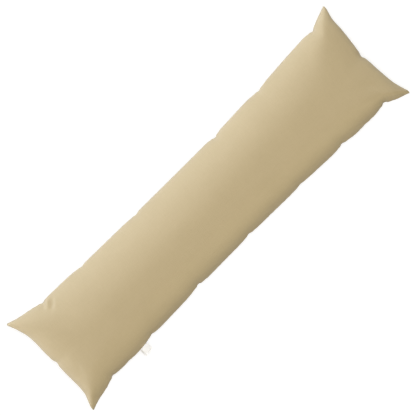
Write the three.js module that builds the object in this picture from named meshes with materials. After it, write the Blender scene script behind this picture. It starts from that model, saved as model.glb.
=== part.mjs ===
// A long outdoor bench cushion lying on its back, with the blank care ribbon caught in its seam.
//
// The cover is two equal oblong panels, sewn together all round, turned right side out and filled.
// The filling rounds the panels, so the seam draws in between the corners and puckers into short
// tucks, and each corner is left as a thin pointed ear.
//
// Millimetres. The origin is the middle of the surface under the cushion. +X runs along it, +Y
// across it towards its back seam, and +Z up.

import * as THREE from "three";

// The seam's four corners after filling, from the middle
const TIP_ALONG = 716;
const TIP_ACROSS = 192;

// How high the seam lies above the surface: along the sides, and how much it sinks at the ends
const SEAM_HEIGHT = 80;
const END_DROP = 12;
const END_DROP_REACH = 210;
const EAR_DROP = 10;
const EAR_DROP_REACH = 120;

// The filled form
const CROWN = 97; // rise of the upper panel over the seam, at mid-length
const CROWN_LOSS = 16; // the crown is lower by this where the body is widest
const WIDEST_AT = 560; // where that is, along the cushion
const END_REACH = 300; // the panels rise from the end seam to the full crown over this length
const FULLNESS = 0.52; // 0.5 is an ellipse across, 1 is a parabola
const END_SQUARENESS = 1.4; // the section is flatter on top towards the ends
const END_SQUARE_REACH = 200;
const PRESS = 1.25; // how firmly the lower panel is pressed flat on the surface
const PRESS_POWER = 1.5;
const EAR_FLATTENING = 0.55; // share of the thickness that the ears lack
const EAR_REACH = 70;
const TUCK_DENT = 0.35; // share of the thickness that a tuck takes away at the seam
const TUCK_POINT = 1.3; // 1 is a tuck with straight sides, and more makes its point sharper
const TUCK_HUG = 8; // power by which a tuck's pull fades from the seam inwards
const END_HUG = 4; // power by which the end seam's line fades from the ends inwards

// The mesh
const COLUMN_STEP = 15;
const END_CROWDING = 1.5; // columns stand closer towards the end seams
const ROWS = 20;

// The long seams seen from above, without their tucks: how far each lies from the middle line.
const SIDE_LINE = [
  { along: -716, front: 192, back: 192 },
  { along: -680, front: 184.5, back: 184.5 },
  { along: -640, front: 176, back: 176 },
  { along: -600, front: 168, back: 168.5 },
  { along: -560, front: 165, back: 165.5 },
  { along: -480, front: 165.4, back: 163.4 },
  { along: -400, front: 160.4, back: 158 },
  { along: -280, front: 157, back: 155.5 },
  { along: -180, front: 154.7, back: 153.3 },
  { along: 0, front: 153.4, back: 152 },
  { along: 100, front: 154, back: 151.2 },
  { along: 200, front: 155.7, back: 151.9 },
  { along: 300, front: 157.4, back: 155.6 },
  { along: 400, front: 161.3, back: 157.6 },
  { along: 500, front: 166.3, back: 163.6 },
  { along: 600, front: 167.5, back: 168.5 },
  { along: 640, front: 171.5, back: 171.5 },
  { along: 680, front: 182.5, back: 182.5 },
  { along: 716, front: 192, back: 192 },
];

// The tucks in the long seams: how far each draws the seam in, how wide it is on its two sides, and
// how far its crease runs into the panels. The first and last of each seam stand at the ears.
const SIDE_TUCKS = [
  { seam: "back", along: -588, depth: 3.6, before: 25, after: 28, crease: 30 },
  { seam: "back", along: -418, depth: 3, before: 35, after: 25, crease: 18 },
  { seam: "back", along: -179, depth: 3.1, before: 40, after: 25, crease: 18 },
  { seam: "back", along: 172, depth: 6.4, before: 28, after: 30, crease: 28 },
  { seam: "back", along: 376, depth: 5.3, before: 55, after: 32, crease: 25 },
  { seam: "back", along: 632, depth: 7.5, before: 34, after: 22, crease: 35 },
  { seam: "front", along: -592, depth: 5.8, before: 32, after: 28, crease: 30 },
  { seam: "front", along: -526, depth: 1.2, before: 25, after: 18, crease: 12 },
  { seam: "front", along: -411, depth: 4.6, before: 40, after: 25, crease: 24 },
  { seam: "front", along: -194, depth: 6, before: 30, after: 25, crease: 28 },
  { seam: "front", along: 32, depth: 3.9, before: 26, after: 24, crease: 22 },
  { seam: "front", along: 262, depth: 3, before: 30, after: 28, crease: 18 },
  { seam: "front", along: 444, depth: 6.5, before: 34, after: 32, crease: 28 },
  { seam: "front", along: 542, depth: 1.4, before: 15, after: 22, crease: 12 },
  { seam: "front", along: 632, depth: 10.5, before: 34, after: 26, crease: 38 },
];

// The end seams seen from above, without their tucks: how far each lies from the middle.
const END_LINE = [
  { across: -192, left: 716, right: 716 },
  { across: -166, left: 707.5, right: 709 },
  { across: -140, left: 699, right: 702.5 },
  { across: -112, left: 696, right: 698.5 },
  { across: -50, left: 696, right: 694 },
  { across: 0, left: 695, right: 693 },
  { across: 50, left: 695.5, right: 697 },
  { across: 112, left: 696, right: 703 },
  { across: 140, left: 699, right: 704 },
  { across: 166, left: 707.5, right: 709.5 },
  { across: 192, left: 716, right: 716 },
];

// The tucks in the end seams, of the same form as those of the sides
const END_TUCKS = [
  { seam: "left", across: 0, depth: 4.5, before: 26, after: 30, crease: 22 },
  { seam: "right", across: 0, depth: 6, before: 30, after: 34, crease: 28 },
];

// The care ribbon: a woven strip folded double, whose two cut ends are caught in the front seam
const RIBBON = { along: -459, width: 32, showing: 22, thickness: 1.2, droop: 6, steps: 8 };
const SEAM_GAP = 0.35;

const COVER_CLOTH = new THREE.MeshStandardMaterial({
  name: "cover_cloth",
  color: new THREE.Color().setRGB(0.76, 0.68, 0.53, THREE.SRGBColorSpace),
  roughness: 0.85,
  metalness: 0,
});
const RIBBON_CLOTH = new THREE.MeshStandardMaterial({
  name: "ribbon_cloth",
  color: new THREE.Color().setRGB(0.94, 0.94, 0.93, THREE.SRGBColorSpace),
  roughness: 0.6,
  metalness: 0,
});

// A smooth line through a table's rows that doesn't overshoot them: a cubic between neighbours,
// level at each crest and hollow.
function smoothLine(rows, place, value) {
  const last = rows.length - 1;
  const slope = (i) => (rows[i + 1][value] - rows[i][value]) / (rows[i + 1][place] - rows[i][place]);
  const tangent = (i) => {
    if (i === 0) return slope(0);
    if (i === last) return slope(last - 1);
    const before = slope(i - 1);
    const after = slope(i);
    return before * after <= 0 ? 0 : (2 * before * after) / (before + after);
  };
  return (at) => {
    let i = 0;
    while (i < last - 1 && at > rows[i + 1][place]) i += 1;
    const span = rows[i + 1][place] - rows[i][place];
    const t = Math.min(1, Math.max(0, (at - rows[i][place]) / span));
    const rise = t * t * (3 - 2 * t);
    return (
      rows[i][value] * (1 - rise) +
      rows[i + 1][value] * rise +
      span * (tangent(i) * t * (1 - t) * (1 - t) - tangent(i + 1) * t * t * (1 - t))
    );
  };
}

// How strongly a tuck is felt at a place along its seam: 1 at its point, 0 outside it
function tuckStrength(tuck, place, at) {
  const away = at - tuck[place];
  const side = away < 0 ? tuck.before : tuck.after;
  return Math.max(0, 1 - Math.abs(away) / side) ** TUCK_POINT;
}

// A seam: its line without tucks, how far the tucks draw it in, and how much they take from the
// cushion's thickness at a distance inwards from it.
function seam(name, rows, tucks, place) {
  const own = tucks.filter((tuck) => tuck.seam === name);
  return {
    line: smoothLine(rows, place, name),
    pull: (at) => own.reduce((sum, tuck) => sum + tuck.depth * tuckStrength(tuck, place, at), 0),
    dent: (at, inwards) =>
      own.reduce(
        (sum, tuck) => sum + tuckStrength(tuck, place, at) * Math.exp(-inwards / tuck.crease),
        0,
      ),
  };
}

const FRONT = seam("front", SIDE_LINE, SIDE_TUCKS, "along");
const BACK = seam("back", SIDE_LINE, SIDE_TUCKS, "along");
const LEFT = seam("left", END_LINE, END_TUCKS, "across");
const RIGHT = seam("right", END_LINE, END_TUCKS, "across");

// 1 at an edge, falling to 0 at a reach inwards from it
const near = (distance, reach) => Math.max(0, 1 - distance / reach) ** 2;

// The height of the seam, and inside it of the sheet halfway between the panels
function middleHeight(fromEnd, fromTip) {
  return SEAM_HEIGHT - END_DROP * near(fromEnd, END_DROP_REACH) - EAR_DROP * near(fromTip, EAR_DROP_REACH);
}

// Where a place of the panels lies: along is the column, and across is -1 at the front seam and 1 at
// the back seam. Both panels lie over the same place, and meet where it is on a seam.
function placeOf(along, across) {
  const side = across < 0 ? FRONT : BACK;
  const end = along < 0 ? LEFT : RIGHT;
  const edge = Math.abs(across);
  const onEnd = across * TIP_ACROSS;
  const fromEnd = TIP_ALONG - Math.abs(along);
  const shortfall = TIP_ALONG - end.line(onEnd) + end.pull(onEnd);
  const x = along - Math.sign(along) * shortfall * (Math.abs(along) / TIP_ALONG) ** END_HUG;
  const out = side.line(along) * edge - side.pull(along) * edge ** TUCK_HUG;
  const y = Math.sign(across) * out;
  const fromTip = Math.hypot(TIP_ALONG - Math.abs(x), TIP_ACROSS - Math.abs(y));

  const squareness = 2 + END_SQUARENESS * near(fromEnd, END_SQUARE_REACH);
  const acrossRise = Math.max(0, 1 - edge ** squareness) ** FULLNESS;
  const endRise = (1 - near(fromEnd, END_REACH)) ** FULLNESS;
  const ear = 1 - EAR_FLATTENING * Math.exp(-((fromTip / EAR_REACH) ** 2));
  const inwards = (1 - edge) * side.line(along);
  const dent = Math.min(1, side.dent(along, inwards) + end.dent(onEnd, fromEnd));
  const full = acrossRise * endRise * ear * (1 - TUCK_DENT * dent);

  const middle = middleHeight(fromEnd, fromTip);
  const crown = CROWN - CROWN_LOSS * (along / WIDEST_AT) ** 2;
  const pressed = 1 - (1 - Math.min(1, PRESS * full)) ** PRESS_POWER;
  return { x, y, upper: middle + crown * full, lower: middle * (1 - pressed) };
}

// The columns along the cushion: one at each tuck of the sides, and even steps between them, except
// that they crowd towards the end seams, where the panels rise steeply.
function columnPlaces() {
  const marks = [-TIP_ALONG, ...SIDE_TUCKS.map((tuck) => tuck.along), TIP_ALONG].sort((a, b) => a - b);
  const places = [-TIP_ALONG];
  for (let i = 1; i < marks.length; i += 1) {
    const from = marks[i - 1];
    const span = marks[i] - from;
    const steps = Math.ceil(span / COLUMN_STEP);
    for (let k = 1; k <= steps && span > 0; k += 1) {
      let share = k / steps;
      if (i === 1) share = share ** END_CROWDING;
      if (i === marks.length - 1) share = 1 - (1 - share) ** END_CROWDING;
      places.push(from + span * share);
    }
  }
  return places;
}

// The filled cushion, one closed body: an upper and a lower panel on one grid, sharing its rim.
function cushionGeometry() {
  const columns = columnPlaces();
  const rows = Array.from({ length: ROWS + 1 }, (_, j) => Math.sin((Math.PI / 2) * ((2 * j) / ROWS - 1)));
  const points = [];
  const upper = [];
  const lower = [];
  columns.forEach((along, i) => {
    upper.push([]);
    lower.push([]);
    rows.forEach((across, j) => {
      const place = placeOf(along, across);
      const onSeam = i === 0 || j === 0 || i === columns.length - 1 || j === ROWS;
      upper[i].push(points.length);
      points.push([place.x, place.y, place.upper]);
      lower[i].push(onSeam ? upper[i][j] : points.length);
      if (!onSeam) points.push([place.x, place.y, place.lower]);
    });
  });
  const faces = [];
  for (let i = 1; i < columns.length; i += 1) {
    for (let j = 1; j <= ROWS; j += 1) {
      // Each square is split along the line that points at its nearest corner of the cushion.
      const towardsTip = columns[i] + columns[i - 1] < 0 === j <= ROWS / 2;
      for (const grid of [upper, lower]) {
        const square = [grid[i - 1][j - 1], grid[i][j - 1], grid[i][j], grid[i - 1][j]];
        const [a, b, c, d] = towardsTip ? square : [square[1], square[2], square[3], square[0]];
        const pair = [
          [a, b, c],
          [a, c, d],
        ];
        pair.forEach((face) => faces.push(grid === upper ? face : face.reverse()));
      }
    }
  }
  const geometry = new THREE.BufferGeometry();
  geometry.setAttribute("position", new THREE.Float32BufferAttribute(points.flat(), 3));
  geometry.setIndex(faces.flat());
  geometry.computeVertexNormals();
  return geometry;
}

// The care ribbon, as it comes out of the seam and droops: its side view, drawn out over its width.
function ribbonGeometry() {
  const outline = new THREE.Shape();
  const droopAt = (share) => -RIBBON.droop * share * share;
  for (let k = 0; k <= RIBBON.steps; k += 1) {
    const share = k / RIBBON.steps;
    const step = k === 0 ? "moveTo" : "lineTo";
    outline[step](share * RIBBON.showing, droopAt(share) + RIBBON.thickness / 2);
  }
  for (let k = RIBBON.steps; k >= 0; k -= 1) {
    const share = k / RIBBON.steps;
    outline.lineTo(share * RIBBON.showing, droopAt(share) - RIBBON.thickness / 2);
  }
  return new THREE.ExtrudeGeometry(outline, { depth: RIBBON.width, bevelEnabled: false });
}

const cushion = new THREE.Mesh(cushionGeometry(), COVER_CLOTH);
cushion.name = "cushion";

// The ribbon's side view is drawn with its length along X, its height along Y and its width along Z.
// Turned to stand square to the front seam, it lies against the seam's slant at the seam's height.
const seamOut = (along) => FRONT.line(along) - FRONT.pull(along);
const ribbonStart = RIBBON.along - RIBBON.width / 2;
const seamSlope = (seamOut(ribbonStart) - seamOut(ribbonStart + RIBBON.width)) / RIBBON.width;
const bulge = Math.max(
  ...Array.from({ length: RIBBON.steps + 1 }, (_, k) => {
    const way = (RIBBON.width * k) / RIBBON.steps;
    return seamOut(ribbonStart + way) + seamSlope * way - seamOut(ribbonStart);
  }),
);
const careRibbon = new THREE.Mesh(ribbonGeometry(), RIBBON_CLOTH);
careRibbon.name = "care_ribbon";
careRibbon.rotation.set(Math.PI / 2, 0, Math.atan(seamSlope) - Math.PI / 2, "ZYX");
careRibbon.position.set(
  ribbonStart + RIBBON.width,
  -seamOut(ribbonStart + RIBBON.width) - bulge - SEAM_GAP,
  SEAM_HEIGHT,
);

const benchCushion = new THREE.Group();
benchCushion.name = "bench_cushion";
benchCushion.add(cushion, careRibbon);

export default benchCushion;
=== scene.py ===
# %% [markdown]
# # A long outdoor bench cushion
#
# The real cushion is two oblong panels of plain cloth, sewn together all round, turned right side
# out and filled. The filling rounds the panels, so the seam draws in between the corners, puckers
# into short tucks, and leaves each corner as a thin pointed ear. A blank care ribbon is caught in the
# front seam. This lesson lays out the same panels as a grid, gives them their filled form, lets
# Blender's cloth pressure settle them, and then works the seam, the tucks and the folds.
#
# The imported model comes in first, and everything is placed in its frame: metres, +X along the
# cushion, +Y towards its back seam, +Z up, and the surface that it lies on at zero.

# %% Load the frame
import math

import bpy
import numpy as np
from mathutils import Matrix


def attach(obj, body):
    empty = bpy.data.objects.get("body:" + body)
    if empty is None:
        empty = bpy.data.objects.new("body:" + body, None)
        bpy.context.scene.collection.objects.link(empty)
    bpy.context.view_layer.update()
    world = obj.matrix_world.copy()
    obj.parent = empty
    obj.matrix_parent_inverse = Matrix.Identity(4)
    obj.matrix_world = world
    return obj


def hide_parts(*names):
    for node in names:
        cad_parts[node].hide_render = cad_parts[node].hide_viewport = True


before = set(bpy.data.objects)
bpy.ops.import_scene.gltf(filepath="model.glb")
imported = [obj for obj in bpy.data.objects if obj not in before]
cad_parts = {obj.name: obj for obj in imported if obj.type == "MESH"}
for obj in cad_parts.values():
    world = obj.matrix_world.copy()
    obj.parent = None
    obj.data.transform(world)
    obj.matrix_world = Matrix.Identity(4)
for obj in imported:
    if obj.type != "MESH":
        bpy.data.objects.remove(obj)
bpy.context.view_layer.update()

SEAM_HEIGHT = 0.080  # the seam's height above the floor at mid-length
print("frame nodes:", sorted(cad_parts))

# %% [markdown]
# ## The camera
#
# The photograph looks straight down onto the face, from so far off that nothing narrows with
# distance, and the cushion lies across the picture's diagonal. A long lens high above gives the same
# flat view. The lens follows from two real sizes: how far off the camera stands, and how much of the
# cushion's plane the square picture takes in.

# %% Camera
PICTURE_WIDTH = 1.327  # metres across the picture, at the seam's height
CAMERA_DISTANCE = 6.0
LONG_AXIS_TURN = math.radians(45.11)  # how far the cushion's length is turned up from level
PICTURE_MIDDLE = (-0.0013, 0.0012)

camera_data = bpy.data.cameras.new("camera")
camera_data.lens = camera_data.sensor_width * CAMERA_DISTANCE / PICTURE_WIDTH
camera_data.clip_end = 50
camera = bpy.data.objects.new("camera", camera_data)
camera.location = (*PICTURE_MIDDLE, SEAM_HEIGHT + CAMERA_DISTANCE)
camera.rotation_euler = (0, 0, -LONG_AXIS_TURN)
bpy.context.scene.collection.objects.link(camera)
bpy.context.scene.camera = camera
print(f"lens {camera_data.lens:.0f} mm")

# %% [markdown]
# ## The seam, seen from above
#
# The seam gives the cushion its outline. It could be drawn as one long list of points, but a short
# table of its smooth line and a second table of the tucks say more: the line sweeps in from the ears,
# and each tuck is a small notch that the thread has drawn in. A monotone cubic runs through the
# line's rows without overshooting them, and a notch is a peak with its own width on each side.

# %% The seam's line and its tucks
PANEL_ALONG = 0.725  # half of the flat panel's length
PANEL_ACROSS = 0.200  # half of its width
TIP_ALONG = 0.7225
TIP_ACROSS = 0.1973
LEAST = 1e-9  # keeps a division from meeting a zero

SIDE_LINE = {
    "along": [-0.7225, -0.680, -0.640, -0.600, -0.560, -0.480, -0.400, -0.280, -0.180, 0.0,
              0.100, 0.200, 0.300, 0.400, 0.500, 0.600, 0.640, 0.680, 0.7225],
    "front": [0.1973, 0.1840, 0.1760, 0.1680, 0.1650, 0.1656, 0.1604, 0.1570, 0.1545, 0.1534,
              0.1540, 0.1557, 0.1574, 0.1613, 0.1661, 0.1675, 0.1715, 0.1835, 0.1973],
    "back": [0.1973, 0.1840, 0.1758, 0.1682, 0.1652, 0.1630, 0.1577, 0.1552, 0.1530, 0.1514,
             0.1509, 0.1514, 0.1548, 0.1572, 0.1633, 0.1685, 0.1715, 0.1825, 0.1973],
}
END_LINE = {
    "across": [-0.1973, -0.166, -0.140, -0.112, -0.050, 0.0,
               0.050, 0.080, 0.112, 0.140, 0.166, 0.1973],
    "left": [0.7215, 0.7080, 0.6976, 0.6946, 0.6951, 0.6954,
             0.6955, 0.6941, 0.6949, 0.7010, 0.7094, 0.7225],
    "right": [0.7200, 0.7084, 0.7008, 0.6974, 0.6934, 0.6926,
              0.6968, 0.7003, 0.7030, 0.7039, 0.7102, 0.7205],
}

# Where each tuck is, how far it draws the seam in, its width on its two sides, and how far its
# crease runs into the panels
TUCK_COLUMNS = ("seam", "place", "depth", "before", "after", "crease")
TUCK_ROWS = [
    ("back", -0.588, 0.0044, 0.030, 0.030, 0.030),
    ("back", -0.418, 0.0030, 0.035, 0.025, 0.018),
    ("back", -0.179, 0.0031, 0.040, 0.025, 0.018),
    ("back", 0.174, 0.0066, 0.032, 0.032, 0.028),
    ("back", 0.378, 0.0053, 0.050, 0.042, 0.025),
    ("back", 0.634, 0.0078, 0.036, 0.030, 0.035),
    ("front", -0.594, 0.0060, 0.040, 0.028, 0.030),
    ("front", -0.526, 0.0012, 0.025, 0.018, 0.012),
    ("front", -0.413, 0.0050, 0.046, 0.025, 0.024),
    ("front", -0.195, 0.0060, 0.042, 0.025, 0.028),
    ("front", 0.032, 0.0039, 0.026, 0.024, 0.022),
    ("front", 0.262, 0.0030, 0.022, 0.028, 0.018),
    ("front", 0.446, 0.0065, 0.034, 0.044, 0.028),
    ("front", 0.542, 0.0014, 0.015, 0.022, 0.012),
    ("front", 0.634, 0.0112, 0.040, 0.034, 0.038),
    ("left", -0.005, 0.0055, 0.024, 0.014, 0.022),
    ("right", -0.004, 0.0060, 0.026, 0.036, 0.028),
    ("right", 0.042, 0.0010, 0.012, 0.016, 0.012),
]
TUCKS = [dict(zip(TUCK_COLUMNS, row)) for row in TUCK_ROWS]
TUCK_POINT = 1.15  # 1 is a notch with straight sides, and more makes its point sharper


def smooth_line(table, column, at):
    """The height at some places of a cubic through a table's rows, level at each crest and hollow."""
    place, value = (np.array(table[key]) for key in (next(iter(table)), column))
    slope = np.diff(value) / np.diff(place)
    rising = slope[:-1] * slope[1:] > 0
    both = np.where(rising, slope[:-1] + slope[1:], 1)
    inner = np.where(rising, 2 * slope[:-1] * slope[1:] / both, 0)
    tangent = np.concatenate([slope[:1], inner, slope[-1:]])
    row = np.clip(np.searchsorted(place, at) - 1, 0, len(place) - 2)
    span = place[row + 1] - place[row]
    t = np.clip((at - place[row]) / span, 0, 1)
    rise = t * t * (3 - 2 * t)
    lean = tangent[row] * t * (1 - t) ** 2 - tangent[row + 1] * t * t * (1 - t)
    return value[row] * (1 - rise) + value[row + 1] * rise + span * lean


def tuck_strength(tuck, at):
    """1 at a tuck's point and 0 outside it, for places along its seam."""
    away = at - tuck["place"]
    width = np.where(away < 0, tuck["before"], tuck["after"])
    return np.maximum(0, 1 - np.abs(away) / width) ** TUCK_POINT


def seam_pull(name, at):
    """How far the tucks of a seam draw it in."""
    own = [tuck for tuck in TUCKS if tuck["seam"] == name]
    return sum(tuck["depth"] * tuck_strength(tuck, at) for tuck in own)


print(len(TUCKS), "tucks in the seam")

# %% [markdown]
# ## The filled form
#
# The filling makes the cover a fat tube between two steep ends, with a thin ear at each corner. It
# could be sculpted, but as a function of two numbers, how far along and how far across from seam to
# seam, it can be corrected place by place. Across, a panel rises in a rounded section. An ellipse
# would be too pointed: a filled tube is flatter on top and steeper at its seams, the more so towards
# the front, and its crown lies in front of the middle. Each ear has its own filling. The lower panel
# follows the same rise but is pressed flat where the cushion rests. The shading in the photograph
# says how steep each place is, so the numbers were chosen by comparing renders with it.

# %% Heights of the panels
CROWN = 0.090  # rise of the upper panel over the seam, at mid-length
CROWN_LOSS = 0.006  # the crown is lower by this where the body is widest
WIDEST_AT = 0.560
CROWN_SHIFT = 0.24  # the crown lies this share of half the width in front of the middle
CROWN_SHIFT_FADE = 0.120  # it comes back to the middle over this length at the ends
FULLNESS, SQUARENESS = 0.535, 2.63  # 0.5 and 2 are an ellipse, and more squareness is flatter on top
FRONT_FULLNESS, FRONT_SQUARENESS = 0.21, 0.75  # added towards the front seam
END_SQUARENESS, END_SQUARE_REACH = 1.66, 0.230  # added squareness towards the ends
LEFT_REACH, RIGHT_REACH = 0.416, 0.566  # from an end seam to the full crown
END_POWER = 3.2  # the ends' squareness
END_DROP, END_DROP_REACH = 0.0032, 0.210  # the seam sinks towards the ends
SIDE_TUCK_HUG, END_TUCK_HUG = 10, 14  # powers by which a tuck's pull fades from the seam inwards
END_HUG = 8  # the same for the end line's sweep
PRESS = 1.25  # how firmly the lower panel is pressed flat
PRESS_POWER = 1.5

# No two ears are filled alike. The fullness is the end's profile beside the ear, as above. A hip of 0
# rounds away the ridge from the ear to the crown, and 1 makes it a roof's hip. The ear lacks a share of
# the thickness close to its tip, sinks a little, and is plumper by a share further in.
EAR_COLUMNS = ("end", "seam", "fullness", "hip", "flattening", "drop", "plumpness")
EAR_ROWS = [
    ("left", "back", 0.368, 0.0, 0.135, 0.0, 0.0),
    ("left", "front", 0.36, 0.25, 0.20, 0.004, 0.40),
    ("right", "back", 0.321, 0.50, 0.50, 0.0005, 0.305),
    ("right", "front", 0.399, 1.0, 0.484, 0.010, 0.0),
]
EARS = [dict(zip(EAR_COLUMNS, row)) for row in EAR_ROWS]
FLATTENING_REACH, DROP_REACH, PLUMP_REACH = 0.042, 0.120, 0.090
HIP_SHARPNESS = 12
BLEND_ALONG, BLEND_ACROSS = 0.15, 0.45  # how softly values pass from end to end and seam to seam


def near(distance, reach):
    """1 at an edge, falling to 0 at a reach inwards from it."""
    return np.maximum(0, 1 - distance / reach) ** 2


def bell(distance, reach):
    """1 at no distance, and almost 0 at twice the reach."""
    return np.exp(-((distance / reach) ** 2))


def between_ears(column, along, across):
    """A value of the ears' table, blended smoothly from ear to ear."""
    rightness = (1 + np.tanh(along / BLEND_ALONG)) / 2
    backness = (1 + np.tanh(across / BLEND_ACROSS)) / 2
    blend = 0
    for ear in EARS:
        on_end = rightness if ear["end"] == "right" else 1 - rightness
        on_seam = backness if ear["seam"] == "back" else 1 - backness
        blend = blend + ear[column] * on_end * on_seam
    return blend


def place_of(along, across):
    """x, y and both panels' heights, for along in metres and across from -1 (front) to 1 (back)."""
    edge = np.abs(across)
    front, back = across < 0, across >= 0
    line = front * smooth_line(SIDE_LINE, "front", along) + back * smooth_line(SIDE_LINE, "back", along)
    pull = front * seam_pull("front", along) + back * seam_pull("back", along)
    on_end = across * TIP_ACROSS
    left, right = along < 0, along >= 0
    end_line = left * smooth_line(END_LINE, "left", on_end)
    end_line = end_line + right * smooth_line(END_LINE, "right", on_end)
    end_pull = left * seam_pull("left", on_end) + right * seam_pull("right", on_end)
    from_end = TIP_ALONG - np.abs(along)
    outness = np.abs(along) / TIP_ALONG
    drawn_in = (TIP_ALONG - end_line) * outness**END_HUG + end_pull * outness**END_TUCK_HUG
    x = along - np.sign(along) * drawn_in
    y = np.sign(across) * (line * edge - pull * edge**SIDE_TUCK_HUG)
    from_tip = np.hypot(TIP_ALONG - np.abs(x), TIP_ACROSS - np.abs(y))

    frontness = (1 - np.tanh(across / BLEND_ACROSS)) / 2
    squareness = SQUARENESS + FRONT_SQUARENESS * frontness
    squareness = squareness + END_SQUARENESS * near(from_end, END_SQUARE_REACH)
    shift = CROWN_SHIFT * (1 - bell(from_end, CROWN_SHIFT_FADE))
    from_crown = np.abs(across + shift * (1 - across**2))
    across_fullness = FULLNESS + FRONT_FULLNESS * frontness
    across_rise = np.maximum(0, 1 - from_crown**squareness) ** across_fullness
    reach = np.where(left, LEFT_REACH, RIGHT_REACH)
    end_fullness = between_ears("fullness", along, across)
    end_rise = (1 - np.maximum(0, 1 - from_end / reach) ** END_POWER) ** end_fullness
    steeper = (across_rise**HIP_SHARPNESS + end_rise**HIP_SHARPNESS) ** (1 / HIP_SHARPNESS)
    hip = between_ears("hip", along, across)
    rounded = 1 - hip + hip * 2 ** (1 / HIP_SHARPNESS)
    ear = 1 - between_ears("flattening", along, across) * bell(from_tip, FLATTENING_REACH)
    ear = ear + between_ears("plumpness", along, across) * bell(from_tip, PLUMP_REACH)
    full = ear * across_rise * end_rise * rounded / (1 - hip + hip * steeper + LEAST)
    ear_drop = between_ears("drop", along, across) * near(from_tip, DROP_REACH)
    drop = END_DROP * near(from_end, END_DROP_REACH) + ear_drop
    middle = SEAM_HEIGHT - drop
    crown = CROWN - CROWN_LOSS * (along / WIDEST_AT) ** 2
    pressed = 1 - (1 - np.minimum(1, PRESS * full)) ** PRESS_POWER
    return x, y, middle + crown * full, middle * (1 - pressed)


print("height at mid-length:", place_of(np.zeros(1), np.zeros(1))[2])

# %% [markdown]
# ## The panels as a grid of cloth
#
# Real cloth hardly stretches, so equal steps on the flat panel have to stay equal steps on the filled
# one. Each section is therefore walked by its own length, first across and then along, and the grid's
# points are set at the shares of that length that they have on the flat panel. The grid is finer at
# the seam, where the tucks are. Each point keeps its place on the flat panel as an attribute, which
# later carries the weave and tells every step how far the seam is.

# %% Flat grid, walked onto the form
SEAM_STEP, ALONG_STEP, ACROSS_STEP = 0.0035, 0.0058, 0.012
STEP_GROWTH = 1.1
FORM_COLUMNS, FORM_ROWS = 1201, 241


def graded(half, first, largest):
    """Places from -half to half, whose steps grow from the edges inwards."""
    steps = [first]
    while sum(steps) < half:
        steps.append(min(largest, steps[-1] * STEP_GROWTH))
    edges = half * (1 - np.cumsum(steps) / sum(steps))
    inner = np.concatenate([[half], edges[:-1]])
    return np.concatenate([-inner, [0], inner[::-1]])


def walked(line, shares):
    """The points at these shares of a line's own length."""
    steps = np.linalg.norm(np.diff(line, axis=0), axis=1)
    way = np.concatenate([[0], np.cumsum(steps)]) / steps.sum()
    return np.stack([np.interp(shares, way, line[:, axis]) for axis in range(3)], axis=1)


flat_along = graded(PANEL_ALONG, SEAM_STEP, ALONG_STEP)
flat_across = graded(PANEL_ACROSS, SEAM_STEP, ACROSS_STEP)
column_shares = (flat_along / PANEL_ALONG + 1) / 2
row_shares = (flat_across / PANEL_ACROSS + 1) / 2
form_along = TIP_ALONG * np.sin(np.linspace(-1, 1, FORM_COLUMNS) * math.pi / 2)[:, None]
form_across = np.sin(np.linspace(-1, 1, FORM_ROWS) * math.pi / 2)[None, :]
x, y, top, bottom = place_of(form_along, form_across)


def panel_points(height):
    """A panel's points on the grid: columns, rows, 3."""
    form = np.stack([x, y, height], axis=2)
    sections = np.stack([walked(section, row_shares) for section in form])
    return np.stack([walked(sections[:, row], column_shares) for row in range(len(row_shares))], axis=1)


upper_points, lower_points = panel_points(top), panel_points(bottom)
columns, rows = upper_points.shape[:2]
print("grid of", columns, "by", rows, "on each panel")

# %% [markdown]
# ## One closed cover
#
# The two grids share the points of their rim, which is the seam, so the cover is one closed mesh and
# pressure can fill it. Its faces point out: the upper panel's go round one way and the lower panel's
# the other.

# %% Closed mesh
whole_grid, inner_grid = columns * rows, (columns - 2) * (rows - 2)
upper = np.arange(whole_grid).reshape(columns, rows)
lower = upper.copy()
lower[1:-1, 1:-1] = whole_grid + np.arange(inner_grid).reshape(columns - 2, rows - 2)
cover_points = np.concatenate([upper_points.reshape(-1, 3), lower_points[1:-1, 1:-1].reshape(-1, 3)])
flat_places = np.stack(np.broadcast_arrays(flat_along[:, None], flat_across[None, :], 0.0), axis=2)
places = np.concatenate([flat_places.reshape(-1, 3), flat_places[1:-1, 1:-1].reshape(-1, 3)])
side = np.concatenate([np.ones(whole_grid), -np.ones(inner_grid)])
seam_points = np.unique(np.concatenate([upper[0], upper[-1], upper[:, 0], upper[:, -1]]))
side[seam_points] = 0
places[:, 2] = side


def grid_faces(grid, outwards):
    corners = [grid[:-1, :-1], grid[1:, :-1], grid[1:, 1:], grid[:-1, 1:]]
    faces = np.stack(corners, axis=2).reshape(-1, 4)
    return faces if outwards else faces[:, ::-1]


cover_faces = np.concatenate([grid_faces(upper, True), grid_faces(lower, False)])
cover_mesh = bpy.data.meshes.new("cover")
cover_mesh.from_pydata(cover_points.tolist(), [], cover_faces.tolist())
place_attribute = cover_mesh.attributes.new("panel_place", "FLOAT_VECTOR", "POINT")
place_attribute.data.foreach_set("vector", places.astype(np.float32).ravel())
cover = bpy.data.objects.new("cover", cover_mesh)
bpy.context.scene.collection.objects.link(cover)
print("cover:", len(cover_points), "points,", len(cover_faces), "faces")

# %% [markdown]
# ## Filling it with pressure
#
# Blender's cloth can push a closed cover out from inside. The seam is pinned, because thread holds
# it, and the panels swell between the pins, so each tuck becomes a soft valley of its own. Gravity is
# off, and a hidden floor stops the lower panel. Pressure alone would make every section round, and
# this cushion's is boxier, so no point keeps more than about a millimetre and a half of its movement.
# The result is read back as plain points, so that no cloth is left on the finished piece.

# %% Cloth pressure
PRESSURE = 4.0
LAST_FRAME = 20
LARGEST_MOVE = 0.0015  # the most that a point keeps of its movement
STOP_SIZE = 3.0  # the hidden floor's length and width
STOP_SKIN = 0.001
FLOOR_GAP = 0.003  # the cloth stops about this far above the hidden floor


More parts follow.
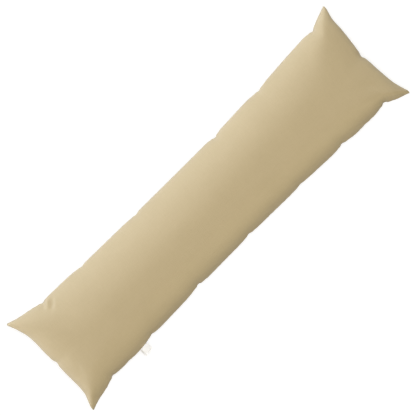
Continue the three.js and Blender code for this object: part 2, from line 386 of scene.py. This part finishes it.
def filled_by_pressure(piece, pinned):
    """The piece's points after the pressure pass."""
    pins = piece.vertex_groups.new(name="seam")
    pins.add([int(point) for point in pinned], 1.0, "REPLACE")
    bpy.ops.mesh.primitive_plane_add(size=STOP_SIZE, location=(0, 0, -FLOOR_GAP))
    floor_stop = bpy.context.object
    floor_stop.modifiers.new("stop", "COLLISION")
    floor_stop.collision.thickness_outer = STOP_SKIN
    cloth = piece.modifiers.new("filling", "CLOTH")
    cloth.settings.quality = 5
    cloth.settings.mass = 0.15
    cloth.settings.air_damping = 3
    cloth.settings.bending_stiffness = 0.1
    cloth.settings.vertex_group_mass = "seam"
    cloth.settings.use_pressure = True
    cloth.settings.uniform_pressure_force = PRESSURE
    cloth.settings.effector_weights.gravity = 0
    cloth.collision_settings.distance_min = 0.002
    cloth.point_cache.frame_end = LAST_FRAME + 1
    for number in range(1, LAST_FRAME + 1):
        bpy.context.scene.frame_set(number)
    settled = piece.evaluated_get(bpy.context.evaluated_depsgraph_get())
    points = np.empty(len(piece.data.vertices) * 3, np.float32)
    settled.data.vertices.foreach_get("co", points)
    piece.modifiers.remove(cloth)
    bpy.data.objects.remove(floor_stop)
    bpy.context.scene.frame_set(1)
    return points.reshape(-1, 3).astype(float)


filled_points = cover_points.copy()
moved = filled_by_pressure(cover, seam_points) - cover_points
distance = np.linalg.norm(moved, axis=1)
share = LARGEST_MOVE / np.hypot(distance, LARGEST_MOVE)
filled_points = cover_points + moved * share[:, None]
print(f"pressure moved the cover by up to {distance.max() * 1000:.1f} mm,", end=" ")
print(f"and {(distance * share).max() * 1000:.1f} mm of it are kept")
cover_mesh.vertices.foreach_set("co", filled_points.astype(np.float32).ravel())

# %% [markdown]
# ## A finer surface
#
# One level of subdivision turns the grid into a smooth surface with about two millimetres between
# points at the seam. The seam's edges are creased, so they stay a sharp line instead of being rounded
# away. The panels also get their flat layout as a UV map, the upper one above the lower one, because
# that is how a cutter would lay them out.

# %% Crease, layout and subdivision
LAYOUT_MARGIN = 0.01


def crease_seam(mesh, pinned):
    on_seam = np.zeros(len(mesh.vertices), bool)
    on_seam[pinned] = True
    ends = np.empty(len(mesh.edges) * 2, np.int32)
    mesh.edges.foreach_get("vertices", ends)
    crease = mesh.attributes.new("crease_edge", "FLOAT", "EDGE")
    crease.data.foreach_set("value", on_seam[ends.reshape(-1, 2)].all(axis=1).astype(np.float32))


def lay_out(mesh, flat, upper_faces):
    """A UV map with the upper panel above the lower one, each at its flat proportions' full width."""
    corner = np.empty(len(mesh.loops), np.int32)
    mesh.loops.foreach_get("vertex_index", corner)
    on_upper = np.repeat(np.arange(len(mesh.polygons)) < upper_faces, 4)
    room = 1 - 2 * LAYOUT_MARGIN
    u = LAYOUT_MARGIN + room * (flat[corner, 0] / PANEL_ALONG + 1) / 2
    v = LAYOUT_MARGIN + room * (flat[corner, 1] / PANEL_ACROSS + 1) / 2
    uv = mesh.uv_layers.new(name="OFBake")
    uv.uv.foreach_set("vector", np.stack([u, (v + on_upper) / 2], axis=1).astype(np.float32).ravel())


crease_seam(cover_mesh, seam_points)
lay_out(cover_mesh, places, len(cover_faces) // 2)
subdivision = cover.modifiers.new("finer", "SUBSURF")
subdivision.levels = subdivision.render_levels = 1
subdivision.uv_smooth = "NONE"
finer = cover.evaluated_get(bpy.context.evaluated_depsgraph_get())
cushion_mesh = bpy.data.meshes.new_from_object(finer)
cushion_mesh.name = "cushion_cover"
bpy.data.objects.remove(cover)
cushion = bpy.data.objects.new("cushion_cover", cushion_mesh)
bpy.context.scene.collection.objects.link(cushion)
cushion_mesh.shade_smooth()
print("cushion:", len(cushion_mesh.polygons), "faces")

# %% [markdown]
# ## Working the seam
#
# What makes a seam look sewn is small: the two panels roll over the stitches and leave a fine groove
# between them, the cloth next to the thread is gathered in little puckers, and at each tuck a crease
# runs into the panel and dies out. Each of these is a small move of the points, worked out from how
# far a point is from the seam on the flat panel.

# %% Helpers for moving the surface
points = np.empty(len(cushion_mesh.vertices) * 3, np.float32)
cushion_mesh.vertices.foreach_get("co", points)
points = points.reshape(-1, 3).astype(float)
place = np.empty(len(points) * 3, np.float32)
cushion_mesh.attributes["panel_place"].data.foreach_get("vector", place)
place = place.reshape(-1, 3).astype(float)
from_side = PANEL_ACROSS - np.abs(place[:, 1])
from_end = PANEL_ALONG - np.abs(place[:, 0])
from_seam = np.clip(np.minimum(from_side, from_end), 0, None)
facing = np.sign(place[:, 2])
from_nearest_tip = np.hypot(TIP_ALONG - np.abs(points[:, 0]), TIP_ACROSS - np.abs(points[:, 1]))
CHANCE_SEED = 7  # any other number gives other small puckers
random = np.random.default_rng(CHANCE_SEED)


def set_points(mesh, at):
    mesh.vertices.foreach_set("co", at.astype(np.float32).ravel())
    mesh.update()


def normals_of(mesh, at):
    """The mesh's normals once its points are at these places."""
    set_points(mesh, at)
    found = np.empty(len(mesh.vertices) * 3, np.float32)
    mesh.vertex_normals.foreach_get("vector", found)
    return found.reshape(-1, 3).astype(float)


def ripple(at, shortest, longest, waves=9):
    """A smooth chance line between about -1 and 1: some waves of chance length and phase, added."""
    lengths = random.uniform(shortest, longest, waves)
    phases = random.uniform(0, 2 * math.pi, waves)
    summed = sum(np.sin(2 * math.pi * at / length + phase) for length, phase in zip(lengths, phases))
    return summed / math.sqrt(waves)


print("points:", len(points))

# %% Groove and puckers of the seam
GROOVE_DEPTH = 0.0012
GROOVE_WIDTH = 0.0022
RIM_HALF = 0.0018  # the folded-in edges of the cloth make the rim this much thicker on each side
RIM_ROUND = 0.005
RIM_REACH = 0.045
PUCKER_HEIGHT, PUCKER_REACH = 0.00035, 0.010
PUCKER_LENGTHS = (0.014, 0.034)
WAVE_HEIGHT, WAVE_REACH = 0.0009, 0.022  # the seam itself rises and falls a little
WAVE_LENGTHS = (0.05, 0.13)
THIN_TIP_REACH = 0.05  # the groove fades out this close to a tip

nearer_side = from_side < from_end
end_sign, side_sign = np.sign(points[:, 0]), np.sign(points[:, 1])
outwards = np.stack([end_sign * ~nearer_side, side_sign * nearer_side], axis=1)
# Adding the signs gives each of the four seams a stretch of the chance lines to itself
along_seam = np.where(nearer_side, points[:, 0] + side_sign, points[:, 1] + 2 * end_sign)

normals = normals_of(cushion_mesh, points)
thick = 1 - bell(from_nearest_tip, THIN_TIP_REACH)
groove = GROOVE_DEPTH * thick * bell(from_seam, GROOVE_WIDTH)
points[:, :2] -= outwards * groove[:, None]
rim = RIM_HALF * (1 - np.exp(-from_seam / RIM_ROUND)) * np.exp(-from_seam / RIM_REACH)
points[:, 2] += facing * rim
upper_ripple = ripple(along_seam, *PUCKER_LENGTHS)
lower_ripple = ripple(along_seam, *PUCKER_LENGTHS)
pucker = PUCKER_HEIGHT * np.where(facing > 0, upper_ripple, lower_ripple)
pucker *= np.exp(-from_seam / PUCKER_REACH) * (1 - bell(from_seam, GROOVE_WIDTH))
points += normals * pucker[:, None]
points[:, 2] += WAVE_HEIGHT * ripple(along_seam, *WAVE_LENGTHS) * np.exp(-from_seam / WAVE_REACH)
print(f"puckers up to {np.abs(pucker).max() * 1000:.2f} mm high")

# %% [markdown]
# ## Blunt tips
#
# A turned corner never comes out as sharp as it was sewn, because the folded-in cloth fills it. Each
# tip is a wedge, so its last centimetre and a half is squeezed back along the wedge's middle line and
# spread sideways until its outline is a small round end.

# %% Blunt tips
TIP_RADIUS = 0.0048
TIP_WEDGE = math.radians(26.5)  # half of the angle between the seams at a tip
TIP_LENGTH = 0.016  # the stretch that the blunting works on
TIP_ZONE = 0.05  # nothing further from the tip than this is moved
TIP_LEAST = 1e-5  # keeps the tip's own point from dividing by zero
tip_cut = TIP_RADIUS / math.sin(TIP_WEDGE) - TIP_RADIUS
print(f"each tip loses {tip_cut * 1000:.1f} mm")

for along_sign in (-1, 1):
    for across_sign in (-1, 1):
        inwards = -np.array([along_sign, across_sign]) / math.sqrt(2)
        aside = np.array([-inwards[1], inwards[0]])
        tip = np.array([along_sign * TIP_ALONG, across_sign * TIP_ACROSS])
        offset = points[:, :2] - tip
        depth, spread = offset @ inwards, offset @ aside
        close = (depth < TIP_LENGTH) & (np.hypot(depth, spread) < TIP_ZONE)
        old = np.maximum(depth[close], TIP_LEAST)
        new = tip_cut + old * (1 - tip_cut / TIP_LENGTH)
        cap = np.sqrt(np.maximum(0, TIP_RADIUS**2 - np.maximum(0, TIP_RADIUS + tip_cut - new) ** 2))
        straight = new * math.tan(TIP_WEDGE)
        width = np.where(new < tip_cut + TIP_RADIUS * (1 - math.sin(TIP_WEDGE)), cap, straight)
        spread_by = width / (old * math.tan(TIP_WEDGE))
        moved = new[:, None] * inwards + (spread[close] * spread_by)[:, None] * aside
        points[close, :2] = moved + tip

# %% [markdown]
# ## Creases at the tucks, and the fold beside an ear
#
# A tuck's crease is a valley between two low shoulders. It starts at the notch in the seam, widens as
# it runs into the panel, and dies out. One tuck, beside the left ear of the back seam, throws a soft
# fold across the corner as well: a ridge and a valley side by side. Both could be left to a finer
# cloth pass, but it would crease the cloth where it likes, and each of these has its place.

# %% Creases
CREASE_SHARE = 0.45  # a crease's depth for each metre that its tuck draws the seam in
CREASE_WIDTH = 0.005
CREASE_SPREAD = 0.22  # how fast it widens inwards
SHOULDER = 0.35  # a shoulder's height, as a share of the valley's depth
SHOULDER_AWAY = 2  # in widths of the valley

normals = normals_of(cushion_mesh, points)
crease = np.zeros(len(points))
for tuck in TUCKS:
    on_side = tuck["seam"] in ("front", "back")
    half = np.sign(points[:, 1] if on_side else points[:, 0])
    wanted = 1 if tuck["seam"] in ("back", "right") else -1
    inwards = np.clip(from_side if on_side else from_end, 0, None)
    away = np.abs((points[:, 0] if on_side else points[:, 1]) - tuck["place"])
    width = CREASE_WIDTH + CREASE_SPREAD * inwards
    valley = bell(away, width) - SHOULDER * bell(away - SHOULDER_AWAY * width, width)
    depth = CREASE_SHARE * tuck["depth"] * np.exp(-inwards / tuck["crease"])
    crease += (half == wanted) * valley * depth * (1 - bell(inwards, GROOVE_WIDTH))
points -= normals * crease[:, None]
print(f"deepest crease {crease.max() * 1000:.1f} mm")

# %% Fold
FOLD_MIDDLE = (-0.571, 0.143)
FOLD_TURN = math.radians(45)  # the direction that it runs in from the seam
FOLD_LENGTH = 0.034
FOLD_WAVE = 0.032  # from the ridge's rise to the valley's end
FOLD_HEIGHT = 0.0037
FOLD_TAPER = 1.5  # how fast it dies out sideways

east, north = points[:, 0] - FOLD_MIDDLE[0], points[:, 1] - FOLD_MIDDLE[1]
run = (east * math.cos(FOLD_TURN) + north * math.sin(FOLD_TURN)) / (FOLD_LENGTH / 2)
aside = (north * math.cos(FOLD_TURN) - east * math.sin(FOLD_TURN)) / FOLD_WAVE
fold = np.sin(2 * math.pi * aside) * np.exp(-((FOLD_TAPER * aside) ** 2) - run**2)
points += normals * (facing >= 0)[:, None] * (FOLD_HEIGHT * fold)[:, None]
print(f"the fold rises {(FOLD_HEIGHT * fold).max() * 1000:.1f} mm")

# %% Finished cover
points[:, 2] = np.maximum(points[:, 2], 0)
set_points(cushion_mesh, points)
seam_distance = cushion_mesh.attributes.new("seam_distance", "FLOAT", "POINT")
seam_distance.data.foreach_set("value", from_seam.astype(np.float32))
seam_run = cushion_mesh.attributes.new("seam_run", "FLOAT", "POINT")
seam_run.data.foreach_set("value", np.where(nearer_side, place[:, 0], place[:, 1]).astype(np.float32))
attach(cushion, "root")
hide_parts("cushion")
print("cushion's height:", points[:, 2].max())

# %% [markdown]
# ## The care ribbon
#
# A care ribbon is a strip of woven tape, folded double and caught in the seam by its two cut ends. It
# is thin enough that a solid block would look wrong: two layers with a rounded fold read as tape. The
# strip is laid out along its own length, out along the top layer, round the fold and back, and then
# thickened. It starts inside the seam, and its left edge is rolled down, as handling leaves it.

# %% Ribbon's form
RIBBON_MIDDLE = -0.459
RIBBON_WIDTH = 0.032
RIBBON_LENGTH = 0.0265  # from its cut ends in the seam to its fold
RIBBON_THICKNESS = 0.0004
RIBBON_FOLD = 0.0011  # the fold's radius
RIBBON_RISE = 0.0022  # how far its fold lies above the seam
RIBBON_CURL = 0.0045  # how far its left edge is rolled down
RIBBON_CURL_WIDTH = 0.17  # as a share of its width
RIBBON_CURL_POWER = 0.7  # less than 1 sets the roll's lowest place nearer to the seam
RIBBON_STEPS, RIBBON_WIDTH_STEPS, RIBBON_FOLD_STEPS = 14, 32, 8
RIBBON_TUCKED = 0.0012  # how deep its cut ends lie in the seam


def seam_edge(along):
    return smooth_line(SIDE_LINE, "front", along) - seam_pull("front", along)


def ribbon_height(way, across_share):
    """How high the ribbon lies at a share of its way out, with its left edge rolled down."""
    rolled = max(0, 1 - across_share / RIBBON_CURL_WIDTH) ** 2
    return RIBBON_RISE * way - RIBBON_CURL * rolled * math.sin(math.pi * way**RIBBON_CURL_POWER)


def ribbon_outline():
    """The strip's middle line in side view: out along the top, round the fold, and back."""
    ways = np.linspace(0, 1, RIBBON_STEPS)
    angles = np.linspace(math.pi / 2, -math.pi / 2, RIBBON_FOLD_STEPS)[1:-1]
    roundness = RIBBON_FOLD / RIBBON_LENGTH
    top_layer = [(way, RIBBON_FOLD * math.sqrt(way)) for way in ways]
    turn = [(1 + roundness * math.cos(angle), RIBBON_FOLD * math.sin(angle)) for angle in angles]
    bottom_layer = [(way, -RIBBON_FOLD * math.sqrt(way)) for way in ways[::-1]]
    return top_layer + turn + bottom_layer


outline = ribbon_outline()
ribbon_points, tape_places, ribbon_faces = [], [], []
for step in range(RIBBON_WIDTH_STEPS + 1):
    share = step / RIBBON_WIDTH_STEPS
    along = RIBBON_MIDDLE + RIBBON_WIDTH * (share - 0.5)
    start = -float(seam_edge(np.array([along]))[0]) + GROOVE_DEPTH + RIBBON_TUCKED
    for number, (way, lift) in enumerate(outline):
        height = SEAM_HEIGHT + lift + ribbon_height(way, share)
        ribbon_points.append((along, start - way * RIBBON_LENGTH, height))
        tape_places.append((RIBBON_WIDTH * share, RIBBON_LENGTH * 2 * number / len(outline), 0))
for step in range(RIBBON_WIDTH_STEPS):
    for number in range(len(outline) - 1):
        first = step * len(outline) + number
        second = first + len(outline)
        ribbon_faces.append((first, first + 1, second + 1, second))
print("ribbon:", len(outline), "points along and", RIBBON_WIDTH_STEPS + 1, "across")

# %% Ribbon
ribbon_mesh = bpy.data.meshes.new("care_ribbon_tape")
ribbon_mesh.from_pydata(ribbon_points, [], ribbon_faces)
tape_place = ribbon_mesh.attributes.new("panel_place", "FLOAT_VECTOR", "POINT")
tape_place.data.foreach_set("vector", np.array(tape_places, np.float32).ravel())
ribbon = bpy.data.objects.new("care_ribbon_tape", ribbon_mesh)
bpy.context.scene.collection.objects.link(ribbon)
thickness = ribbon.modifiers.new("thickness", "SOLIDIFY")
thickness.thickness = RIBBON_THICKNESS
thickness.offset = 0
thickened = ribbon.evaluated_get(bpy.context.evaluated_depsgraph_get())
thick_ribbon = bpy.data.meshes.new_from_object(thickened)
ribbon.modifiers.clear()
ribbon.data = thick_ribbon
thick_ribbon.shade_smooth()
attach(ribbon, "root")
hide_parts("care_ribbon")
print("ribbon:", len(thick_ribbon.polygons), "faces")

# %% [markdown]
# ## Cloth up close
#
# Both cloths are woven, so one shader node group makes a plain weave for both: threads that cross
# over and under each other like a chequerboard, each with its own small unevenness along its length.
# The group reads the place on the flat panel, so the weave bends with the cloth, and gives a height
# for the bump and a shade for the colour. A second group gives the slow changes of tone that no real
# cloth is without.

# %% Helpers for shader nodes
def node(tree, kind, **settings):
    made = tree.nodes.new(kind)
    for name, value in settings.items():
        setattr(made, name, value)
    return made


def math_node(tree, operation, *values):
    """A Math node fed by sockets or plain numbers."""
    made = node(tree, "ShaderNodeMath", operation=operation)
    for slot, value in zip(made.inputs, values):
        if hasattr(value, "is_linked"):
            tree.links.new(value, slot)
        else:
            slot.default_value = value
    return made.outputs[0]


def new_group(name, inputs, outputs):
    group = bpy.data.node_groups.new(name, "ShaderNodeTree")
    for title, kind, value in inputs:
        socket = group.interface.new_socket(title, in_out="INPUT", socket_type=kind)
        if value is not None:
            socket.default_value = value
    for title, kind in outputs:
        group.interface.new_socket(title, in_out="OUTPUT", socket_type=kind)
    return group, group.nodes.new("NodeGroupInput"), group.nodes.new("NodeGroupOutput")


# %% Weave and tone groups
THREAD_FLATNESS = 0.6  # 1 is a round thread, and less is flatter
CROSSING_DIP = 0.5  # a thread sinks by this share of its height where it dives under
SLUB_RATE = 0.045  # how fast a thread changes along its length, for each thread that it crosses
THREAD_APART = 7.31  # sets neighbouring threads far apart in the noise
WARP_SEED, WEFT_SEED = 1.7, 8.2


def make_weave_group():
    tree, inside, outside = new_group(
        "plain_weave",
        [("Place", "NodeSocketVector", None), ("Threads per metre", "NodeSocketFloat", 900.0),
         ("Slub", "NodeSocketFloat", 0.5)],
        [("Height", "NodeSocketFloat"), ("Shade", "NodeSocketFloat")],
    )
    scaled = node(tree, "ShaderNodeVectorMath", operation="SCALE")
    tree.links.new(inside.outputs["Place"], scaled.inputs[0])
    tree.links.new(inside.outputs["Threads per metre"], scaled.inputs["Scale"])
    split = node(tree, "ShaderNodeSeparateXYZ")
    tree.links.new(scaled.outputs[0], split.inputs[0])
    warp, weft = split.outputs[0], split.outputs[1]
    warp_number = math_node(tree, "FLOOR", warp)
    weft_number = math_node(tree, "FLOOR", weft)
    over = math_node(tree, "FLOORED_MODULO", math_node(tree, "ADD", warp_number, weft_number), 2.0)

    def round_thread(at):
        across = math_node(tree, "SUBTRACT", math_node(tree, "FRACT", at), 0.5)
        return math_node(tree, "COSINE", math_node(tree, "MULTIPLY", across, math.pi))

    warp_round, weft_round = round_thread(warp), round_thread(weft)

    def crossing(across_round, along_round):
        arch = math_node(tree, "MULTIPLY_ADD", along_round, CROSSING_DIP, 1 - CROSSING_DIP)
        body = math_node(tree, "POWER", across_round, THREAD_FLATNESS)
        return math_node(tree, "MULTIPLY", body, arch)

    warp_over = crossing(warp_round, weft_round)
    weft_over = crossing(weft_round, warp_round)

    def thread_noise(along_thread, number, seed):
        where = node(tree, "ShaderNodeCombineXYZ")
        tree.links.new(math_node(tree, "MULTIPLY", along_thread, SLUB_RATE), where.inputs[0])
        tree.links.new(math_node(tree, "MULTIPLY", number, THREAD_APART), where.inputs[1])
        where.inputs[2].default_value = seed
        noise = node(tree, "ShaderNodeTexNoise")
        noise.inputs["Scale"].default_value = 1.0
        noise.inputs["Detail"].default_value = 1.0
        tree.links.new(where.outputs[0], noise.inputs["Vector"])
        return noise.outputs[0]

    warp_noise = thread_noise(weft, warp_number, WARP_SEED)
    weft_noise = thread_noise(warp, weft_number, WEFT_SEED)

    def either(when_over, otherwise):
        mix = node(tree, "ShaderNodeMix", data_type="FLOAT")
        tree.links.new(over, mix.inputs[0])
        tree.links.new(otherwise, mix.inputs[2])
        tree.links.new(when_over, mix.inputs[3])
        return mix.outputs[0]

    shade = either(warp_noise, weft_noise)
    from_even = math_node(tree, "SUBTRACT", shade, 0.5)
    uneven = math_node(tree, "MULTIPLY", from_even, inside.outputs["Slub"])
    height = math_node(tree, "ADD", either(warp_over, weft_over), uneven)
    tree.links.new(height, outside.inputs["Height"])
    tree.links.new(shade, outside.inputs["Shade"])
    return tree


def make_tone_group():
    """Slow changes of tone over a cloth, such as handling and sun leave."""
    tree, inside, outside = new_group(
        "cloth_tone",
        [("Place", "NodeSocketVector", None), ("Patches per metre", "NodeSocketFloat", 7.0)],
        [("Tone", "NodeSocketFloat")],
    )
    noise = node(tree, "ShaderNodeTexNoise")
    noise.inputs["Detail"].default_value = 3.0
    tree.links.new(inside.outputs["Place"], noise.inputs["Vector"])
    tree.links.new(inside.outputs["Patches per metre"], noise.inputs["Scale"])
    tree.links.new(noise.outputs[0], outside.inputs["Tone"])
    return tree


weave_group = make_weave_group()
tone_group = make_tone_group()
print("groups:", weave_group.name, tone_group.name)

# %% [markdown]
# ## The cover's cloth
#
# Outdoor cover cloth is matt, spun-dyed and plain woven. Its colour is painted darker deep between
# the threads and lighter on top of them, as painted shade and painted light, and it changes very
# slightly over the cushion. It is also painted darker in the seam's groove, as painted shade. A low
# sheen stands for the fine fibres that catch the light at the edges. The stitches lie hidden between
# the panels, and only a row of small dimples beside the seam shows where they pull.

# %% Helpers for woven cloth
# The weave's height gives painted shade: the colour is darker between the threads and lighter on their
# tops
PAINTED_THREAD_SHADE, SHADE_SHARE = 0.35, 0.35  # how much a thread's height and its own shade lighten it


def place_socket(tree):
    return node(tree, "ShaderNodeAttribute", attribute_name="panel_place").outputs["Vector"]


def group_node(tree, group, **values):
    made = node(tree, "ShaderNodeGroup", node_tree=group)
    for title, value in values.items():
        made.inputs[title.replace("_", " ")].default_value = value
    tree.links.new(place_socket(tree), made.inputs["Place"])
    return made


def woven_material(name, deep, top, pitch, slub, tone_share, relief, rough, rough_range):
    """A woven cloth's material, its colour's socket and its bump, all driven by the threads."""
    material = bpy.data.materials.new(name)
    material.use_nodes = True
    tree = material.node_tree
    surface = tree.nodes["Principled BSDF"]
    weave = group_node(tree, weave_group, Threads_per_metre=1 / pitch, Slub=slub)
    tone = group_node(tree, tone_group)
    # Painted shade between the threads, from the weave's height
    painted_shade_between_threads = math_node(tree, "MULTIPLY", weave.outputs["Height"], PAINTED_THREAD_SHADE)
    by_shade = math_node(tree, "MULTIPLY", weave.outputs["Shade"], SHADE_SHARE)
    by_tone = math_node(tree, "MULTIPLY", tone.outputs["Tone"], tone_share)
    weight = math_node(tree, "ADD", math_node(tree, "ADD", painted_shade_between_threads, by_shade), by_tone)
    roughness = math_node(tree, "MULTIPLY_ADD", weave.outputs["Shade"], rough_range, rough)
    tree.links.new(roughness, surface.inputs["Roughness"])
    colours = node(tree, "ShaderNodeMix", data_type="RGBA")
    colours.inputs[6].default_value = deep
    colours.inputs[7].default_value = top
    tree.links.new(weight, colours.inputs[0])
    bump = node(tree, "ShaderNodeBump")
    bump.inputs["Strength"].default_value = 0.8
    bump.inputs["Distance"].default_value = relief
    tree.links.new(weave.outputs["Height"], bump.inputs["Height"])
    tree.links.new(bump.outputs[0], surface.inputs["Normal"])
    return material, colours.outputs[2], bump


# %% Cover cloth
# Painted shade: the colour is multiplied darker within the seam's groove
PAINTED_GROOVE_SHADE_WIDTH, PAINTED_GROOVE_SHADE_TONE = 0.0016, 0.55
cloth, cloth_colour, bump = woven_material(
    "cover_cloth_woven", deep=(0.425, 0.339, 0.193, 1), top=(0.557, 0.453, 0.275, 1),
    pitch=0.0011, slub=0.6, tone_share=0.30, relief=0.00016, rough=0.80, rough_range=0.10
)
tree = cloth.node_tree
surface = tree.nodes["Principled BSDF"]
surface.inputs["Sheen Weight"].default_value = 0.15
surface.inputs["Sheen Roughness"].default_value = 0.5
surface.inputs["Specular IOR Level"].default_value = 0.35
distance = node(tree, "ShaderNodeAttribute", attribute_name="seam_distance")
painted_groove_shade = node(tree, "ShaderNodeMapRange")
painted_groove_shade.inputs["From Max"].default_value = PAINTED_GROOVE_SHADE_WIDTH
painted_groove_shade.inputs["To Min"].default_value = PAINTED_GROOVE_SHADE_TONE
painted_groove_shade.inputs["To Max"].default_value = 1.0
tree.links.new(distance.outputs["Fac"], painted_groove_shade.inputs["Value"])
groove_shaded_colour = node(tree, "ShaderNodeMix", data_type="RGBA", blend_type="MULTIPLY")
groove_shaded_colour.inputs[0].default_value = 1.0
tree.links.new(cloth_colour, groove_shaded_colour.inputs[6])
tree.links.new(painted_groove_shade.outputs[0], groove_shaded_colour.inputs[7])
tree.links.new(groove_shaded_colour.outputs[2], surface.inputs["Base Color"])

# %% Dimples of the hidden stitches
STITCH_LENGTH = 0.0032
STITCH_REACH = 0.0045  # the dimples fade out this far from the seam
STITCH_DEPTH = 0.0005
along_thread = node(tree, "ShaderNodeAttribute", attribute_name="seam_run").outputs["Fac"]
beat = math_node(tree, "SINE", math_node(tree, "MULTIPLY", along_thread, 2 * math.pi / STITCH_LENGTH))
beside_seam = node(tree, "ShaderNodeMapRange", interpolation_type="SMOOTHSTEP")
beside_seam.inputs["From Max"].default_value = STITCH_REACH
beside_seam.inputs["To Min"].default_value = 1.0
beside_seam.inputs["To Max"].default_value = 0.0
tree.links.new(distance.outputs["Fac"], beside_seam.inputs["Value"])
dimples = node(tree, "ShaderNodeBump")
dimples.inputs["Strength"].default_value = 0.7
dimples.inputs["Distance"].default_value = STITCH_DEPTH
tree.links.new(math_node(tree, "MULTIPLY", beat, beside_seam.outputs[0]), dimples.inputs["Height"])
tree.links.new(dimples.outputs[0], bump.inputs["Normal"])
cushion_mesh.materials.append(cloth)
print("cover cloth:", len(tree.nodes), "nodes")

# %% [markdown]
# ## The ribbon's cloth
#
# The tape is the same weave, much finer, in white with a soft gloss. Its threads are too fine for the
# camera, so a plain white would do as well from there, but from close by the weave makes it a tape.

# %% Ribbon cloth
# The tape's colour also gets the painted shade between its threads
tape_cloth, tape_colour, _ = woven_material(
    "ribbon_cloth_woven", deep=(0.93, 0.93, 0.93, 1), top=(0.98, 0.98, 0.98, 1),
    pitch=0.0005, slub=0.3, tone_share=0.2, relief=0.0001, rough=0.45, rough_range=0.15
)
surface = tape_cloth.node_tree.nodes["Principled BSDF"]
tape_cloth.node_tree.links.new(tape_colour, surface.inputs["Base Color"])
ribbon.data.materials.clear()
ribbon.data.materials.append(tape_cloth)
print("ribbon cloth:", len(tape_cloth.node_tree.nodes), "nodes")

# %% [markdown]
# ## Floor and light
#
# The cushion was photographed on pure white. Its back side is much brighter than its front side, and
# the change is quickest right along the crown. Only light that comes in very low does that, so three
# low strips of soft light stand round its back and its left end. A soft lamp overhead, a weak one in
# front and a dim warm sky fill in the rest. The strips are cooler than the sky, because the photo's
# bright side is less yellow. The floor reflects little but looks white to the camera, as white paper
# that is lit by itself does, so hardly any shadow shows.

# %% Floor
FLOOR_SIZE = 7.6
FLOOR_DROP = 0.0005  # keeps it just under the cushion's flat underside
FLOOR_GLOW = 0.75  # what only the camera sees, on top of what the lamps give

bpy.ops.mesh.primitive_plane_add(size=FLOOR_SIZE, location=(0, 0, -FLOOR_DROP))
floor = bpy.context.object
floor.name = "floor"
floor_paint = bpy.data.materials.new("white_floor")
floor_paint.use_nodes = True
tree = floor_paint.node_tree
paint = tree.nodes["Principled BSDF"]
paint.inputs["Base Color"].default_value = (0.35, 0.35, 0.35, 1)
paint.inputs["Roughness"].default_value = 0.9
paint.inputs["Emission Color"].default_value = (1, 1, 1, 1)
seen = node(tree, "ShaderNodeLightPath").outputs["Is Camera Ray"]
tree.links.new(math_node(tree, "MULTIPLY", seen, FLOOR_GLOW), paint.inputs["Emission Strength"])
floor.data.materials.append(floor_paint)
print("floor:", FLOOR_SIZE, "m square")

# %% Lamps
# Azimuths are degrees from +X, tilts are degrees from straight up, and powers are watts
LAMP_COLUMNS = ("name", "azimuth", "tilt", "distance", "width", "height", "power", "tint")
LAMP_ROWS = [
    ("strip at the left end", 175, 86.8, 4.0, 2.4, 0.4, 46, (0.99, 1.0, 1.01)),
    ("strip towards the left end", 135, 86.8, 4.0, 3.0, 0.4, 103, (0.86, 0.95, 1.19)),
    ("strip towards the right end", 60, 86.8, 4.0, 3.0, 0.4, 103, (0.90, 0.98, 1.12)),
    ("overhead", 0, 0, 4.0, 1.5, 1.5, 100, (0.94, 0.98, 1.08)),
    ("front fill", 282, 60, 4.0, 1.5, 1.5, 25, (1.03, 1.05, 0.92)),
]


def aim(lamp):
    """A lamp's place and turn, for one that looks at the cushion's middle."""
    azimuth, tilt = math.radians(lamp["azimuth"]), math.radians(lamp["tilt"])
    flat = lamp["distance"] * math.sin(tilt)
    place = (flat * math.cos(azimuth), flat * math.sin(azimuth), lamp["distance"] * math.cos(tilt))
    return place, (tilt, 0, azimuth + math.pi / 2)


for row in LAMP_ROWS:
    lamp = dict(zip(LAMP_COLUMNS, row))
    light = bpy.data.lights.new(lamp["name"], "AREA")
    light.shape = "RECTANGLE"
    light.size, light.size_y = lamp["width"], lamp["height"]
    light.energy = lamp["power"]
    light.color = lamp["tint"]
    holder = bpy.data.objects.new(lamp["name"], light)
    holder.location, holder.rotation_euler = aim(lamp)
    holder.visible_camera = False
    bpy.context.scene.collection.objects.link(holder)
print(len(LAMP_ROWS), "lamps")

# %% Sky
SKY_GLOW, SKY_TINT = 0.30, (1.0, 0.83, 0.47, 1)
sky = bpy.data.worlds.new("studio_sky")
sky.use_nodes = True
tree = sky.node_tree
backdrop = tree.nodes["Background"]
backdrop.inputs["Color"].default_value = (1, 1, 1, 1)
glow = node(tree, "ShaderNodeBackground")
glow.inputs["Color"].default_value = SKY_TINT
glow.inputs["Strength"].default_value = SKY_GLOW
chosen = node(tree, "ShaderNodeMixShader")
tree.links.new(node(tree, "ShaderNodeLightPath").outputs["Is Camera Ray"], chosen.inputs[0])
tree.links.new(glow.outputs[0], chosen.inputs[1])
tree.links.new(backdrop.outputs[0], chosen.inputs[2])
tree.links.new(chosen.outputs[0], tree.nodes["World Output"].inputs["Surface"])
bpy.context.scene.world = sky
bpy.context.scene.view_settings.view_transform = "Standard"
print("white to the camera, and a glow of", SKY_GLOW, "on the cushion")
